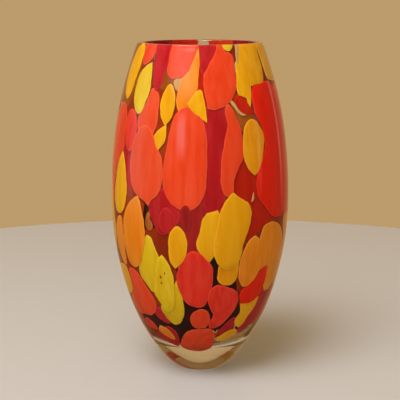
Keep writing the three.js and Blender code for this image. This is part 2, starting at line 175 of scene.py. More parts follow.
def ramp(tree, value, low, high, falling=False, smooth=False):
    """A mask that goes from 0 at low to 1 at high, or falls from 1 to 0."""
    limits = {"From Min": low, "From Max": high, "To Min": int(falling), "To Max": int(not falling)}
    kind = "SMOOTHSTEP" if smooth else "LINEAR"
    return add_node(tree, "MapRange", {"Value": value, **limits}, interpolation_type=kind).outputs[0]


print("node helpers ready")

# %% [markdown]
# Coloured glass is never one flat colour. As it is drawn out it gets long soft streaks, its colour
# gathers in clouds, and it holds a few specks. One shared node group makes those three masks from the
# place on the vase, and each colour uses them in its own strength. The tone of a chip shifts the
# pattern, so that two chips side by side don't match.

# %% Shared pattern: streaks, clouds and specks
TONE_SHIFT = (0.31, 0.17, 0.43)


def streaky_glass():
    group = bpy.data.node_groups.new("streaky_glass", "ShaderNodeTree")
    sockets = {"INPUT": ("Tone", "Streak Width"), "OUTPUT": ("Streaks", "Clouds", "Specks")}
    for in_out, names in sockets.items():
        for name in names:
            group.interface.new_socket(name=name, in_out=in_out, socket_type="NodeSocketFloat")
    entry, leave = group.nodes.new("NodeGroupInput"), group.nodes.new("NodeGroupOutput")
    place = add_node(group, "TexCoord").outputs["Object"]
    shifted = add_node(group, "VectorMath", {0: entry.outputs["Tone"], 1: TONE_SHIFT, 2: place},
                       operation="MULTIPLY_ADD")

    def mask(stretch, detail, rough, low, high, scale=1):
        """Noise stretched along the vase, and the ramp that cuts a mask out of it."""
        mapping = add_node(group, "Mapping", {"Vector": shifted.outputs[0], "Scale": stretch})
        noise = add_node(group, "TexNoise", {"Vector": mapping.outputs[0], "Scale": scale,
                                             "Detail": detail, "Roughness": rough, "Distortion": 0.25})
        return ramp(group, noise.outputs[0], low, high, smooth=True)

    fill(group, leave, {
        "Streaks": mask((190, 190, 13), 3, 0.55, 0.36, 0.68, entry.outputs["Streak Width"]),
        "Clouds": mask((34, 34, 16), 2, 0.5, 0.34, 0.66),
        "Specks": mask((420, 420, 300), 1, 0.4, 0.735, 0.78),
    })
    return group


STREAKY = streaky_glass()
print("pattern outputs", [s.name for s in STREAKY.interface.items_tree if s.in_out == "OUTPUT"])

# %% [markdown]
# Two masks are put together by a small calculation, such as one times the other or the greater of the
# two. Two colours are mixed by a mask.

# %% Combining masks and colours
def maths(tree, operation, first, second, clamp=False):
    node = add_node(tree, "Math", {0: first, 1: second}, operation=operation, use_clamp=clamp)
    return node.outputs[0]


def mix_colour(tree, mask, first, second, strength=1.0):
    """A colour mixed from first to second by a mask, up to a strength."""
    share = maths(tree, "MULTIPLY", mask, strength)
    mix = add_node(tree, "Mix", {"Factor": share, "A": first, "B": second}, data_type="RGBA")
    return mix.outputs["Result"]


print("mixing helpers ready")

# %% [markdown]
# A colour has three shades: deep where it gathers, light where it is drawn thin, and its body between
# them. The pattern mixes them, a chip's tone makes it a little deeper or not, and where a chip thins
# out at its edge it looks lighter.

# %% The colour of a chip
EDGE_REACH = 1.3


def chip_colour(tree, deep, body, light, width):
    tone, edge = (add_node(tree, "Attribute", attribute_name=name).outputs["Fac"]
                  for name in ("tone", "edge"))
    pattern = add_node(tree, "Group", {"Tone": tone, "Streak Width": width}, node_tree=STREAKY).outputs
    colour = body
    for mask, shade, strength in (
            (pattern["Clouds"], deep, 0.45), (pattern["Streaks"], light, 0.4), (tone, deep, 0.3),
            (ramp(tree, edge, 0, EDGE_REACH, falling=True), light, 0.5), (pattern["Specks"], deep, 0.5)):
        colour = mix_colour(tree, mask, colour, shade, strength)
    return colour


print("edges are lighter for", EDGE_REACH, "mm")

# %% [markdown]
# Every material starts with a surface shader and an output. Glass needs two shaders at once, for the
# light it throws back and the light it lets through, so a mix of the two goes to the output.

# %% Starting and showing a material
def new_material(name):
    """A material, its tree and its surface shader."""
    material = bpy.data.materials.new(name)
    material.use_nodes = True
    return material, material.node_tree, material.node_tree.nodes["Principled BSDF"]


def show_mix(tree, share, first, second, output="Material Output"):
    """Shows two shaders at once, the second by its share."""
    mix = add_node(tree, "MixShader", {0: share, 1: first.outputs[0], 2: second.outputs[0]})
    fill(tree, tree.nodes[output], {"Surface": mix.outputs[0]})


print("material helpers ready")

# %% [markdown]
# An opaque chip scatters light inside itself, so it is shaded with a matt surface plus a share of
# light that comes through from behind. It has no gloss of its own: it is fused into clear glass, and
# the shine is the casing's. A row gives a colour's name, the share of light that comes through, and
# its deep, body and light shades.

# %% Opaque coloured glass
MATT = 0.6


def chip_material(name, deep, body, light, width):
    """The matt ground of every chip's material, with its colour."""
    material, tree, surface = new_material(name)
    colour = chip_colour(tree, deep, body, light, width)
    fill(tree, surface, {"Base Color": colour, "Roughness": MATT, "Specular IOR Level": 0})
    return material, tree, surface, colour


def opaque_glass(name, through, *shades):
    material, tree, surface, colour = chip_material(name, *shades, width=1.0)
    show_mix(tree, through, surface, add_node(tree, "BsdfTranslucent", {"Color": colour}))
    return material


OPAQUE = [
    ("lemon", 0.25, (0.66, 0.40, 0.003), (0.80, 0.56, 0.006), (0.90, 0.70, 0.06)),
    ("golden", 0.25, (0.74, 0.28, 0.002), (0.86, 0.43, 0.003), (0.93, 0.58, 0.03)),
    ("saffron", 0.25, (0.72, 0.22, 0.002), (0.86, 0.36, 0.003), (0.92, 0.50, 0.03)),
    ("orange", 0.25, (0.76, 0.17, 0.003), (0.90, 0.30, 0.008), (0.94, 0.44, 0.06)),
    ("coral", 0.25, (0.72, 0.034, 0.004), (0.84, 0.066, 0.016), (0.90, 0.13, 0.06)),
    ("pink", 0.25, (0.70, 0.050, 0.012), (0.84, 0.090, 0.028), (0.90, 0.16, 0.08)),
    ("scarlet", 0.25, (0.72, 0.007, 0.001), (0.90, 0.013, 0.001), (0.94, 0.036, 0.008)),
    ("red", 0.25, (0.64, 0.016, 0.009), (0.84, 0.036, 0.020), (0.90, 0.10, 0.06)),
    # The pale sheet under the bowl is painted light: its colour stands in for the bright room seen through
    # the heel.
    ("heel_painted_light", 0.5, (0.96, 0.70, 0.36), (0.98, 0.74, 0.40), (0.99, 0.80, 0.48)),
]
GLASS = {name: opaque_glass(f"{name}_glass", *row) for name, *row in OPAQUE}
print("opaque colours", sorted(GLASS))

# %% [markdown]
# Ruby and amber chips let light through. Inside clear glass they have no surface to bend light at, so
# they are a tinted see-through sheet with some haze: part of the light passes and takes the colour,
# part is scattered back. A row gives a colour's name, its haze, and its three shades.

# %% Half transparent coloured glass
def tinted_glass(name, haze, *shades):
    material, tree, surface, colour = chip_material(name, *shades, width=0.7)
    show_mix(tree, haze, add_node(tree, "BsdfTransparent", {"Color": colour}), surface)
    return material


TINTED = [
    ("crimson", 0.72, (0.34, 0.003, 0.007), (0.58, 0.010, 0.020), (0.70, 0.05, 0.06)),
    ("garnet", 0.82, (0.18, 0.003, 0.005), (0.34, 0.009, 0.012), (0.44, 0.03, 0.03)),
    # The near black colour is painted shade: it stands for the shadow inside the lower bowl, seen through
    # the gaps.
    ("painted_shade_ink", 0.75, (0.008, 0.001, 0.002), (0.03, 0.002, 0.004), (0.08, 0.006, 0.012)),
    ("brick", 0.7, (0.44, 0.007, 0.002), (0.62, 0.014, 0.003), (0.70, 0.04, 0.01)),
    ("umber", 0.66, (0.22, 0.012, 0.003), (0.42, 0.036, 0.006), (0.54, 0.09, 0.015)),
    ("amber", 0.6, (0.30, 0.05, 0.006), (0.50, 0.12, 0.012), (0.66, 0.24, 0.05)),
    # The palest tint also paints one highlight: a sliver near the rim at the right stands where the glass
    # mirrors a narrow light.
    ("cream_and_painted_highlight", 0.75, (0.52, 0.28, 0.08), (0.62, 0.36, 0.12), (0.72, 0.48, 0.20)),
]
GLASS |= {name: tinted_glass(f"{name}_glass", *row) for name, *row in TINTED}
print("all colours", sorted(GLASS))

# %% [markdown]
# The clear glass is one material for the gather and the casing. Lamps reach the chips through it
# unbent, which keeps the picture clean: for shadow and scattered light the surface is see-through, and
# for everything that is looked at it is true glass. A very slight swell in the surface is what a hand
# blown skin has. Where gather and casing are fused there is no surface at all, so those faces get a
# material that shows nothing.

# %% Clear glass and the fused seam
def clear_glass():
    material, tree, surface = new_material("clear_glass")
    place = add_node(tree, "TexCoord").outputs["Object"]
    swell = add_node(tree, "TexNoise", {"Vector": place, "Scale": 26, "Detail": 1}).outputs[0]
    bump = add_node(tree, "Bump", {"Height": swell, "Strength": 0.1, "Distance": 0.0006})
    tint = mix_colour(tree, swell, (0.97, 0.975, 0.96), (0.985, 0.985, 0.975))
    fill(tree, surface, {"Base Color": tint, "Transmission Weight": 1, "IOR": 1.5, "Metallic": 0,
                         "Roughness": 0, "Normal": bump.outputs[0]})
    path = add_node(tree, "LightPath").outputs
    unseen = maths(tree, "MAXIMUM", path["Is Shadow Ray"], path["Is Diffuse Ray"])
    show_mix(tree, unseen, surface, add_node(tree, "BsdfTransparent", {"Color": (0.95, 0.95, 0.94)}))
    return material


def fused_seam():
    material, tree, surface = new_material("fused_seam")
    nothing = add_node(tree, "BsdfTransparent")
    fill(tree, tree.nodes["Material Output"], {"Surface": nothing.outputs[0]})
    tree.nodes.remove(surface)
    return material


CLEAR, SEAM = clear_glass(), fused_seam()
print("clear glass and seam ready")

# %% [markdown]
# Every piece ends in the same way: its mesh gets smooth shading but for real corners, its materials,
# and a place in the scene. The vase is one rigid thing, so every piece rides on its one body.

# %% Finishing a piece
def finished(name, bm, materials, sharp):
    """Turns a bmesh into a piece of the vase; edges steeper than sharp degrees stay crisp."""
    mesh = bpy.data.meshes.new(name)
    bm.to_mesh(mesh)
    bm.free()
    mesh.shade_smooth()
    mesh.set_sharp_from_angle(angle=math.radians(sharp))
    for material in materials:
        mesh.materials.append(material)
    piece = bpy.data.objects.new(name, mesh)
    bpy.context.scene.collection.objects.link(piece)
    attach(piece, "root")
    return piece


print("every piece rides on the root body")

# %% [markdown]
# Both clear layers are bodies of revolution, so each is a profile line spun once round the axis. A
# profile is drawn in two stretches, the skin that shows and the seam inside the wall, because the two
# take different materials.

# %% Spinning a layer
STEPS_ROUND = 160


def spun_body(name, stretches, materials):
    bm = bmesh.new()
    for slot, rows in enumerate(stretches):
        before = set(bm.faces)
        line = [bm.verts.new((r * MM, 0, z * MM)) for r, z in rows]
        edges = [bm.edges.new(pair) for pair in zip(line, line[1:])]
        bmesh.ops.spin(bm, geom=line + edges, cent=(0, 0, 0), axis=(0, 0, 1), angle=2 * math.pi,
                       steps=STEPS_ROUND, use_merge=True)
        for face in set(bm.faces) - before:
            face.material_index = slot
    bmesh.ops.remove_doubles(bm, verts=bm.verts, dist=2e-6)
    bmesh.ops.dissolve_degenerate(bm, edges=bm.edges, dist=1e-7)
    bmesh.ops.recalc_face_normals(bm, faces=bm.faces)
    return finished(name, bm, materials, sharp=50)


def rows_of(stations, out):
    radius, height = wall_point(stations, out)
    return list(zip(radius.tolist(), height.tolist()))


def quarter_round(centre, radius, start, end, count=5):
    angles = np.radians(np.linspace(start, end, count))
    return [(centre[0] + radius * math.cos(a), centre[1] + radius * math.sin(a)) for a in angles]


wall_stations = np.concatenate([np.arange(2, 76, 2.0), np.arange(76, 299, 4.0)])
print("profile rows", len(wall_stations))

# %% [markdown]
# Casing and gather meet along the chips. Each leaves a millimetre for them on its own side, and at the
# rim the two close over the chips and meet in a hairline.

# %% The seam
SEAM_OUT = 1.0
HAIRLINE = 0.02
RIM_LIP = 0.2
mid_rim = float(wall_point(300, 0)[0])


def seam_rows(side):
    """The seam from the rim down; side is 1 for the casing and -1 for the gather."""
    lip = mid_rim + side * HAIRLINE
    down = rows_of(np.append(wall_stations, LAYER_TOP), side * SEAM_OUT)[::-1]
    return [(lip, HEIGHT), (lip, HEIGHT - RIM_LIP)] + down + [(0, HEEL - side * SEAM_OUT)]


print("the layers meet", round(mid_rim, 1), "mm from the axis")

# %% [markdown]
# The casing: a flat ground foot with a small polished edge, the long outer wall, a rounded rim, and
# inside it the seam against the chips. The ring of points on the flat foot keeps its faces short.

# %% Outer casing
RIM_ROUND = 1.1
FOOT_ROUND = 4.0
foot_radius, rim_radius = float(outer_radius(0)), float(outer_radius(300))
casing_skin = [(r, 0) for r in (0, 7, 13, 17.5, foot_radius - 1.6)]
casing_skin += quarter_round((foot_radius - 1.4, FOOT_ROUND), FOOT_ROUND, -87, -54)
casing_skin += [(float(outer_radius(z)), z) for z in np.arange(2, 299, 3.0)]
casing_skin += quarter_round((rim_radius - RIM_ROUND, HEIGHT - RIM_ROUND), RIM_ROUND, 0, 90)
casing_skin += [(rim_radius - 2.4, HEIGHT), (mid_rim + HAIRLINE, HEIGHT)]
casing = spun_body("casing_of_clear_glass", [casing_skin, seam_rows(1)], [CLEAR, SEAM])
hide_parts("outer_casing")
print("casing faces", len(casing.data.polygons))

# %% [markdown]
# The gather: the first bubble. Its inside is the inside of the vase, round at the bottom, and its rim
# edge is rounded too. Its outside is the other half of the seam.

# %% Inner gather
GATHER_IN = 3.4
inner_rim = float(wall_point(300, -GATHER_IN)[0])
gather_skin = [(0, HEEL + GATHER_IN)] + rows_of(wall_stations, -GATHER_IN)
gather_skin += quarter_round((inner_rim + RIM_ROUND, HEIGHT - RIM_ROUND), RIM_ROUND, 180, 90)
gather_skin += [(mid_rim - 1.0, HEIGHT), (mid_rim - HAIRLINE, HEIGHT)]
gather = spun_body("gather_of_clear_glass", [gather_skin, seam_rows(-1)], [CLEAR, SEAM])
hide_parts("inner_gather")
print("gather faces", len(gather.data.polygons))

# %% [markdown]
# Each chip began as a short lump of coloured glass. Rolled and reheated, it sank flat into the bubble
# and was drawn out upwards as the vase was blown, which is why most are upright ovals and lances. An
# outline is a handful of points, angle and station, with a smooth closed curve through them; a third
# value of 1 makes a point a corner, where the softened glass was pinched or pulled to a tip. The depth
# says which chips lie over others: 0 is on top.

# %% The chips of the front
FRONT = [
    ("golden_rim_lance", "golden", 0, [(-69, 297), (-75, 288), (-77, 277), (-75, 264), (-70, 254),
        (-65, 251, 1), (-61, 258), (-59, 270), (-57, 284), (-58.5, 297)]),
    ("lemon_leaf", "lemon", 0, [(-43, 284, 1), (-49, 281), (-54, 275), (-56, 265), (-55.5, 254),
        (-52, 244), (-48, 240.5), (-44.5, 243), (-42, 251), (-40, 260), (-40, 268), (-41.5, 278)]),
    ("crimson_rim_lance", "crimson", 1, [(-42, 306), (-41, 290), (-39.5, 276), (-37, 264), (-34, 260, 1),
        (-31, 265), (-28.5, 277), (-27, 290), (-27, 306)]),
    ("orange_arrow", "orange", 1, [(-1, 299, 1), (-5, 288), (-9, 278), (-14, 272, 1), (-16.5, 262),
        (-17, 252), (-15, 244, 1), (-11, 246), (-6, 248), (-3, 257), (-1.5, 268), (-0.5, 284)]),
    ("coral_rim_drop", "coral", 1, [(-26.5, 306), (-27, 288), (-27, 277), (-22, 271, 1), (-16, 272),
        (-10, 273), (-6, 280), (-3, 292), (-2, 306)]),
    ("crimson_rim_wedge", "crimson", 1, [(-1, 306), (-1, 290), (0, 280), (3, 275), (7, 280),
        (12, 288), (15, 296), (16, 306)]),
    ("coral_shoulder", "coral", 0, [(2.6, 275, 1), (7, 283), (12, 291), (15, 299, 1), (20.5, 295),
        (28, 291), (29, 280), (28, 266), (25, 257), (19, 250), (11, 246), (5.5, 247, 1), (3, 262)]),
    ("golden_shoulder", "golden", 0, [(35, 306), (33, 289), (30, 284, 1), (29, 272), (28, 262),
        (29, 257, 1), (35, 255), (36, 251), (38, 246.5, 1), (40, 256), (41, 264, 1), (50, 266), (57, 266, 1),
        (60, 280), (60, 292), (61, 306)]),
    ("gold_leaf", "golden", 0, [(-22, 267), (-26, 263), (-28.5, 254), (-28.5, 245), (-27, 238),
        (-24, 233, 1), (-21, 236.5), (-18.5, 243), (-17.8, 252), (-18.5, 261)]),
    ("gold_slip", "golden", 0, [(-23, 233.5, 1), (-26.5, 231), (-30.5, 226), (-33, 219), (-34, 211),
        (-32, 206), (-29.5, 206), (-27, 213), (-24, 218, 1), (-22.5, 225)]),
    ("coral_heart", "coral", 0, [(-9, 249), (-15, 245), (-19, 236), (-21, 222), (-23, 205),
        (-24, 190), (-22.5, 176), (-18, 167), (-12, 162), (-8, 161), (-3, 164), (1, 170),
        (3.5, 180), (4.5, 200), (4.5, 220), (3, 234), (-1, 243), (-5, 248)]),
    ("coral_column", "pink", 0, [(-46, 226), (-50, 212), (-51, 198), (-50, 185), (-46, 174),
        (-42, 170), (-37, 167), (-34, 162.5, 1), (-32, 168), (-28, 173), (-25, 180), (-24, 192),
        (-25, 205), (-29, 214), (-33, 226), (-40, 232)]),
    ("coral_band", "pink", 1, [(-38, 263), (-33, 261), (-30.5, 255), (-30, 245), (-30, 236),
        (-33, 224), (-38, 220), (-43, 222), (-47, 230), (-47, 240), (-42, 249), (-40, 256)]),
    ("rose_leaf", "red", 0, [(-56, 244), (-60, 238), (-61, 226), (-59, 216), (-56, 210), (-52, 208),
        (-49.5, 214), (-47.5, 224), (-48, 233), (-50.5, 241)]),
    ("red_flank", "coral", 0, [(-70, 248), (-78, 243), (-85, 232), (-88, 215), (-86, 198),
        (-80, 188), (-74, 183), (-70.5, 188), (-66, 198), (-62, 205), (-59.5, 211), (-61, 224),
        (-60.5, 236), (-64, 245)]),
    ("gold_lance", "golden", 0, [(-60.5, 207, 1), (-64, 202), (-67, 193), (-69, 183), (-70.5, 172),
        (-71, 161), (-68, 153), (-64, 151), (-60, 153), (-56, 160), (-54, 170), (-54, 180),
        (-56, 192), (-58, 201)]),
    ("orange_leaf", "orange", 0, [(-43, 171, 1), (-46, 169), (-51, 163), (-56, 154), (-58.5, 143),
        (-59.5, 130), (-58.5, 117), (-56, 108), (-50, 105), (-45, 109), (-41, 120), (-38, 133),
        (-37.5, 140), (-38.5, 152), (-40.5, 164)]),
    ("crimson_pair", "crimson", 1, [(-32.5, 167), (-28, 174), (-24, 180), (-20, 174), (-16, 167),
        (-13, 161), (-13, 152), (-16, 147), (-20, 141), (-24, 139), (-28, 142), (-31, 149),
        (-33.5, 158)]),
    ("ruby_shadow", "garnet", 1, [(-16, 163), (-8, 166), (2, 168), (4, 158), (2, 148), (-1, 140),
        (-1, 130), (-2, 120), (-7, 118), (-10, 128), (-10.5, 139), (-12, 147), (-16, 152)]),
    ("lemon_lance_left", "lemon", 1, [(-36, 137.5, 1), (-39, 132), (-42, 120), (-46.5, 106),
        (-46.5, 99), (-43, 92), (-39, 86, 1), (-34, 84), (-30, 94), (-28, 106), (-28, 117),
        (-31, 129), (-33.5, 136)]),
    ("lemon_lance_middle", "lemon", 0, [(-25.5, 121, 1), (-29, 117), (-31, 108), (-33, 97),
        (-35.5, 87), (-35, 82), (-31.5, 74), (-27, 68), (-21, 72), (-19, 84), (-18.4, 97),
        (-19, 105), (-21, 113)]),
    ("lemon_lance_right", "lemon", 1, [(-16.3, 98.5, 1), (-19, 93), (-22, 85), (-26, 78), (-31, 74),
        (-32.5, 69), (-30, 62), (-26, 57), (-21, 55.5), (-16, 59), (-13, 67), (-12.5, 75),
        (-13.5, 85), (-15, 93)]),
    ("gold_oval", "golden", 0, [(-14, 148), (-17, 146), (-19.5, 140), (-20.5, 131), (-20.5, 121),
        (-19, 113), (-16.5, 109.5, 1), (-13.5, 113), (-9.5, 121), (-8, 130), (-9, 139), (-11, 145)]),
    ("gold_cluster_left", "golden", 1, [(4, 159, 1), (11, 162, 1), (13, 157), (15, 148), (15, 138),
        (13, 128), (9, 121), (6, 115.5, 1), (3, 118), (0, 124), (-1.5, 128), (-2.5, 133), (-1, 140),
        (0.5, 147), (1.5, 154)]),
    ("gold_cluster_right", "golden", 0, [(21, 176.5, 1), (17, 171), (13, 162), (11, 150), (9.5, 138),
        (8.5, 128), (10, 119), (13, 112), (16, 109.5), (22, 109), (27, 116), (28.5, 128),
        (31, 139), (33.5, 150), (34, 158), (31, 167), (25, 172)]),
    ("orange_drop", "orange", 0, [(38, 136.5, 1), (34, 134), (30.5, 128), (28, 118), (27, 110),
        (27.5, 101), (30, 93), (33, 90), (38, 92), (43, 98), (46, 106), (45, 118), (43, 128),
        (41, 134)]),
    ("orange_flank", "orange", 1, [(50, 145.5), (45, 143), (42.5, 135), (41, 125), (42, 112),
        (44, 104), (51, 104), (54.5, 96), (54.5, 86), (58, 81), (64, 81), (70, 88), (74, 100),
        (73, 115), (70, 130), (64, 140), (57, 145)]),
    ("red_oval", "red", 0, [(-4, 126), (-8, 124), (-13, 115), (-16, 104), (-16, 94), (-13.5, 84),
        (-10, 77), (-4, 73.5), (2, 74), (5.5, 79), (8, 90), (9, 102), (8, 112), (4, 119),
        (0, 124)]),
    ("red_kidney", "red", 0, [(9, 92.5), (13, 94.5, 1), (20, 92), (27, 87), (30, 80), (29, 71),
        (25, 63), (20, 57), (13, 52.5), (8.5, 53, 1), (7.5, 58), (10.5, 65), (8.5, 71), (6.2, 78),
        (6.2, 86)]),
    ("coral_disc", "coral", 0, [(-8, 60), (-7, 66.5), (-2, 71), (4, 71), (8, 66), (8, 60),
        (5, 54), (0, 52.5), (-5, 54)]),
    ("red_triangle", "scarlet", 0, [(31, 86), (35, 90), (43, 97), (48, 105), (53, 106, 1), (54.5, 96),
        (53.5, 86), (51, 78), (42, 73), (34, 73.5, 1), (31, 80)]),
    ("gold_wedge", "golden", 1, [(33, 74, 1), (42, 75), (52, 77, 1), (50, 67), (46, 60), (43, 53),
        (39.5, 49.5, 1), (35, 53), (32, 58), (34.5, 65)]),
    ("ruby_flank", "crimson", 1, [(53, 82), (63, 81), (73, 78), (74, 68), (65, 57), (55, 49),
        (46, 42), (40, 46), (43, 53), (48, 62), (51, 72)]),
    ("coral_low_left", "coral", 0, [(-60, 101), (-54, 103), (-48, 99), (-43, 89), (-38, 80),
        (-36.5, 74), (-39, 66), (-45, 61.5), (-55, 60), (-64, 60), (-70, 66), (-68, 74),
        (-62, 80), (-60, 90)]),
    ("coral_bottom", "coral", 0, [(-10, 50), (0, 52), (8, 52.5), (13, 50, 1), (15.5, 42), (17, 32),
        (18, 24), (10, 15), (0, 12), (-15, 13), (-28, 19), (-29, 27, 1), (-23, 35), (-17, 44)]),
    ("red_right_wall", "scarlet", 0, [(43, 264, 1), (52, 266), (66, 266), (74, 252), (77, 225), (76, 195),
        (72, 168), (64, 149, 1), (55, 150), (45, 161), (38.5, 174), (39, 190), (44, 202), (47.8, 218),
        (45, 232), (40.8, 243), (40.5, 256)]),
    ("gold_eye", "saffron", 0, [(36, 237), (32, 233), (29.5, 224), (28.8, 212), (30, 201),
        (33, 194), (37, 189.5, 1), (40, 192), (43, 200), (46, 212), (47, 222), (44, 231),
        (40, 236)]),
    ("coral_stripe", "coral", 0, [(19, 251), (17.5, 244), (18.5, 233), (16, 220), (14, 207),
        (13, 192), (13.5, 181), (16.5, 173), (20.5, 174), (22, 187), (25, 197), (28.5, 204),
        (29, 217), (28, 230), (25, 240), (22, 248)]),
    ("ruby_stripe", "crimson", 1, [(3, 248), (12, 250), (18, 247), (20, 236), (18, 224),
        (16, 210), (15, 196), (15, 182), (16, 170), (12, 160), (6, 158), (0, 162), (0, 172),
        (2, 185), (3, 205), (3, 225), (2, 238)]),
    ("gold_rim_right", "golden", 0, [(62.5, 306), (62, 287), (64, 271), (72, 267), (84, 268),
        (92, 280), (94, 306)]),
]
print("front chips", len(FRONT))

# %% [markdown]
# Nothing is known of the far side, so its large chips are laid in the same manner as the near ones:
# ovals and leaves of the same colours and sizes, with a clear window left in the row under the rim.

# %% The chips of the back
BACK = [
    ("amber_rim_left", "amber", 1, [(-78, 306), (-79, 286), (-80, 265), (-80, 252), (-90, 246),
        (-101, 260), (-104, 282), (-102, 306)]),
    ("red_rim_back", "red", 0, [(184, 306), (183, 288), (187, 272), (196, 262), (205, 268),
        (210, 284), (211, 306)]),
    ("ruby_rim_back", "crimson", 1, [(212, 306), (211.5, 286), (215, 270), (222, 262), (228, 270),
        (231.5, 286), (232, 306)]),
    ("wine_rim_back", "crimson", 1, [(233, 306), (232, 284), (235, 266), (241, 258), (248, 266),
        (252, 284), (252, 306)]),
    ("coral_rim_back", "coral", 0, [(143, 306), (145, 286), (149, 272), (157, 264), (165, 272),
        (169, 288), (170, 306)]),
    ("garnet_rim_back", "crimson", 1, [(106, 306), (104, 288), (107, 270), (116, 258), (129, 262),
        (139, 280), (142, 306)]),
    ("coral_back_heart", "coral", 0, [(176, 250), (168, 244), (163, 228), (161, 208), (163, 190),
        (169, 178), (177, 174), (185, 180), (190, 196), (191, 216), (188, 234), (183, 246)]),
    ("lemon_back_leaf", "lemon", 0, [(150, 252), (145, 244), (141, 228), (141, 212), (145, 200),
        (150, 196), (155, 204), (158, 218), (158, 234), (155, 246)]),
    ("red_back_column", "red", 0, [(126, 246), (117, 244), (110, 230), (107, 208), (109, 186),
        (116, 170), (125, 166), (133, 174), (137, 192), (137, 214), (135, 234)]),
    ("gold_back_leaf", "golden", 0, [(207, 250), (201, 242), (197, 226), (196, 208), (199, 196),
        (205, 192), (211, 202), (215, 218), (215, 234), (212, 245)]),
    ("coral_back_column", "coral", 0, [(233, 244), (226, 238), (221, 222), (219, 202), (221, 184),
        (227, 174), (235, 174), (242, 184), (246, 202), (246, 222), (241, 238)]),
    ("lemon_back_lance", "lemon", 0, [(222, 166), (217, 158), (213, 144), (210, 126), (209, 110),
        (213, 104), (218, 112), (223, 126), (227, 142), (228, 156)]),
    ("orange_back_leaf", "orange", 0, [(249, 166), (241, 160), (235, 144), (232, 126), (233, 108),
        (240, 98), (248, 102), (254, 116), (257, 136), (256, 154)]),
    ("gold_back_oval", "golden", 0, [(183, 166), (175, 162), (169, 150), (166, 134), (168, 118),
        (175, 110), (184, 112), (192, 122), (195, 138), (193, 154)]),
    ("red_back_oval", "red", 0, [(142, 156), (133, 152), (126, 138), (124, 120), (128, 104),
        (137, 96), (147, 100), (154, 114), (156, 132), (152, 148)]),
    ("orange_back_flank", "orange", 0, [(104, 160), (96, 154), (90, 140), (87, 122), (89, 104),
        (97, 94), (107, 98), (114, 112), (117, 132), (113, 150)]),
    ("coral_back_low", "coral", 0, [(180, 96), (168, 94), (158, 84), (153, 70), (158, 58),
        (170, 52), (184, 54), (194, 64), (198, 78), (192, 90)]),
    ("gold_back_low", "golden", 0, [(122, 88), (112, 86), (104, 76), (101, 64), (107, 54),
        (118, 50), (129, 56), (135, 68), (132, 80)]),
]
print("back chips", len(BACK))

# %% [markdown]
# A chip is cut from a flat sheet first: its outline is one face, planes slice it into small cells so
# that it can bend, an extrusion gives it its thickness and a bevel softens its rim. Then every point
# is carried onto the wall, where across the sheet becomes round the vase. Two values stay on the
# points for the materials: how far inside the edge they are, and the chip's tone. Thickness and place
# go by depth: 0 and 1 are chips, 2 is the layer underneath, 3 is a seed on top of a chip.

# %% Sizes of a chip
AROUND = float(layer_radius(150)) * math.pi / 180
CELL_WIDE, CELL_TALL, CELL_BOWL, BOWL_END = 4.0, 6.0, 4.0, 72.0
CHIP_THICK = (0.5, 0.4, 0.1, 0.05)
CHIP_FACE = (0.86, 0.12, -0.5, 0.95)
LEVEL_STEP = 0.07
SOFT_RIM = 0.32
RIM_ANGLE = 1.0
TINY_EDGE = 0.4
FAR_INSIDE = 9.0
TONE_STEP = 0.618034
print("a degree is", round(AROUND, 3), "mm on the sheet")

# %% [markdown]
# A softened chip has an edge that is smooth but never quite even. The curve below goes through every
# given point, turns sharply only at the corners, and wanders by up to a third of a millimetre: a
# long wave and a short one, each with its size in mm, its pace and its shift from chip to chip.

# %% The outline of a chip
WANDER = ((0.2, 0.71, 1), (0.12, 1.63, 2.3))


def closed_curve(points, order, step=2.2):
    """A closed line through given points (angle, station), in mm on the flat sheet.

    It is smooth but at the corners, and has the slight wander of an edge that was once soft.
    """
    knots = [Vector((point[0] * AROUND, point[1], 0)) for point in points]
    corner = [len(point) > 2 for point in points]
    count = len(knots)
    pull = [Vector() if corner[i] else (knots[(i + 1) % count] - knots[i - 1]).normalized()
            for i in range(count)]
    line = []
    for i, knot in enumerate(knots):
        after = knots[(i + 1) % count]
        length = (after - knot).length
        lead, trail = knot + pull[i] * length / 3, after - pull[(i + 1) % count] * length / 3
        line += interpolate_bezier(knot, lead, trail, after, max(3, round(length / step) + 1))[:-1]
    for i, point in enumerate(line):
        along = (line[(i + 1) % len(line)] - line[i - 1]).normalized()
        wander = sum(size * math.sin(i * pace + shift * order) for size, pace, shift in WANDER)
        line[i] = point + Vector((along.y, -along.x, 0)) * wander
    return line


print("points in an outline", len(closed_curve(FRONT[0][3], 0)))

# %% [markdown]
# The flat outline is sliced so that it can bend. All chips share one grid of slices: where two lie over
# one another they bend in the same places and their faces stay apart.

# %% Slicing and measuring a sheet
def all_of(bm):
    return bm.verts[:] + bm.edges[:] + bm.faces[:]


def slice_sheet(bm, start, end, cell, axis):
    for place in np.arange(math.floor(start / cell + 1) * cell, end, cell):
        point, normal = [0, 0, 0], [0, 0, 0]
        point[axis], normal[axis] = place, 1
        bmesh.ops.bisect_plane(bm, geom=all_of(bm), dist=1e-4, plane_co=point, plane_no=normal)


def inside_edge(points, line):
    """How far each point lies from the closed line, in mm."""
    a = np.array([(p.x, p.y) for p in line])
    b = np.roll(a, -1, axis=0)
    run = b - a
    share = np.einsum("pij,ij->pi", points[:, None, :2] - a, run) / np.maximum((run ** 2).sum(1), 1e-9)
    foot = a + np.clip(share, 0, 1)[..., None] * run
    return np.linalg.norm(points[:, None, :2] - foot, axis=2).min(1)


print("furthest inside the first chip",
      round(float(inside_edge(np.array([[-67 * AROUND, 272, 0]]), closed_curve(FRONT[0][3], 0))[0]), 1))

# %% [markdown]
# Chips of one depth may still overlap a little, where one was pressed over its neighbour. Each gets a
# level, and every level lies a few hundredths of a millimetre under the last, so no two share a face.

# %% The level of a chip
laid = []


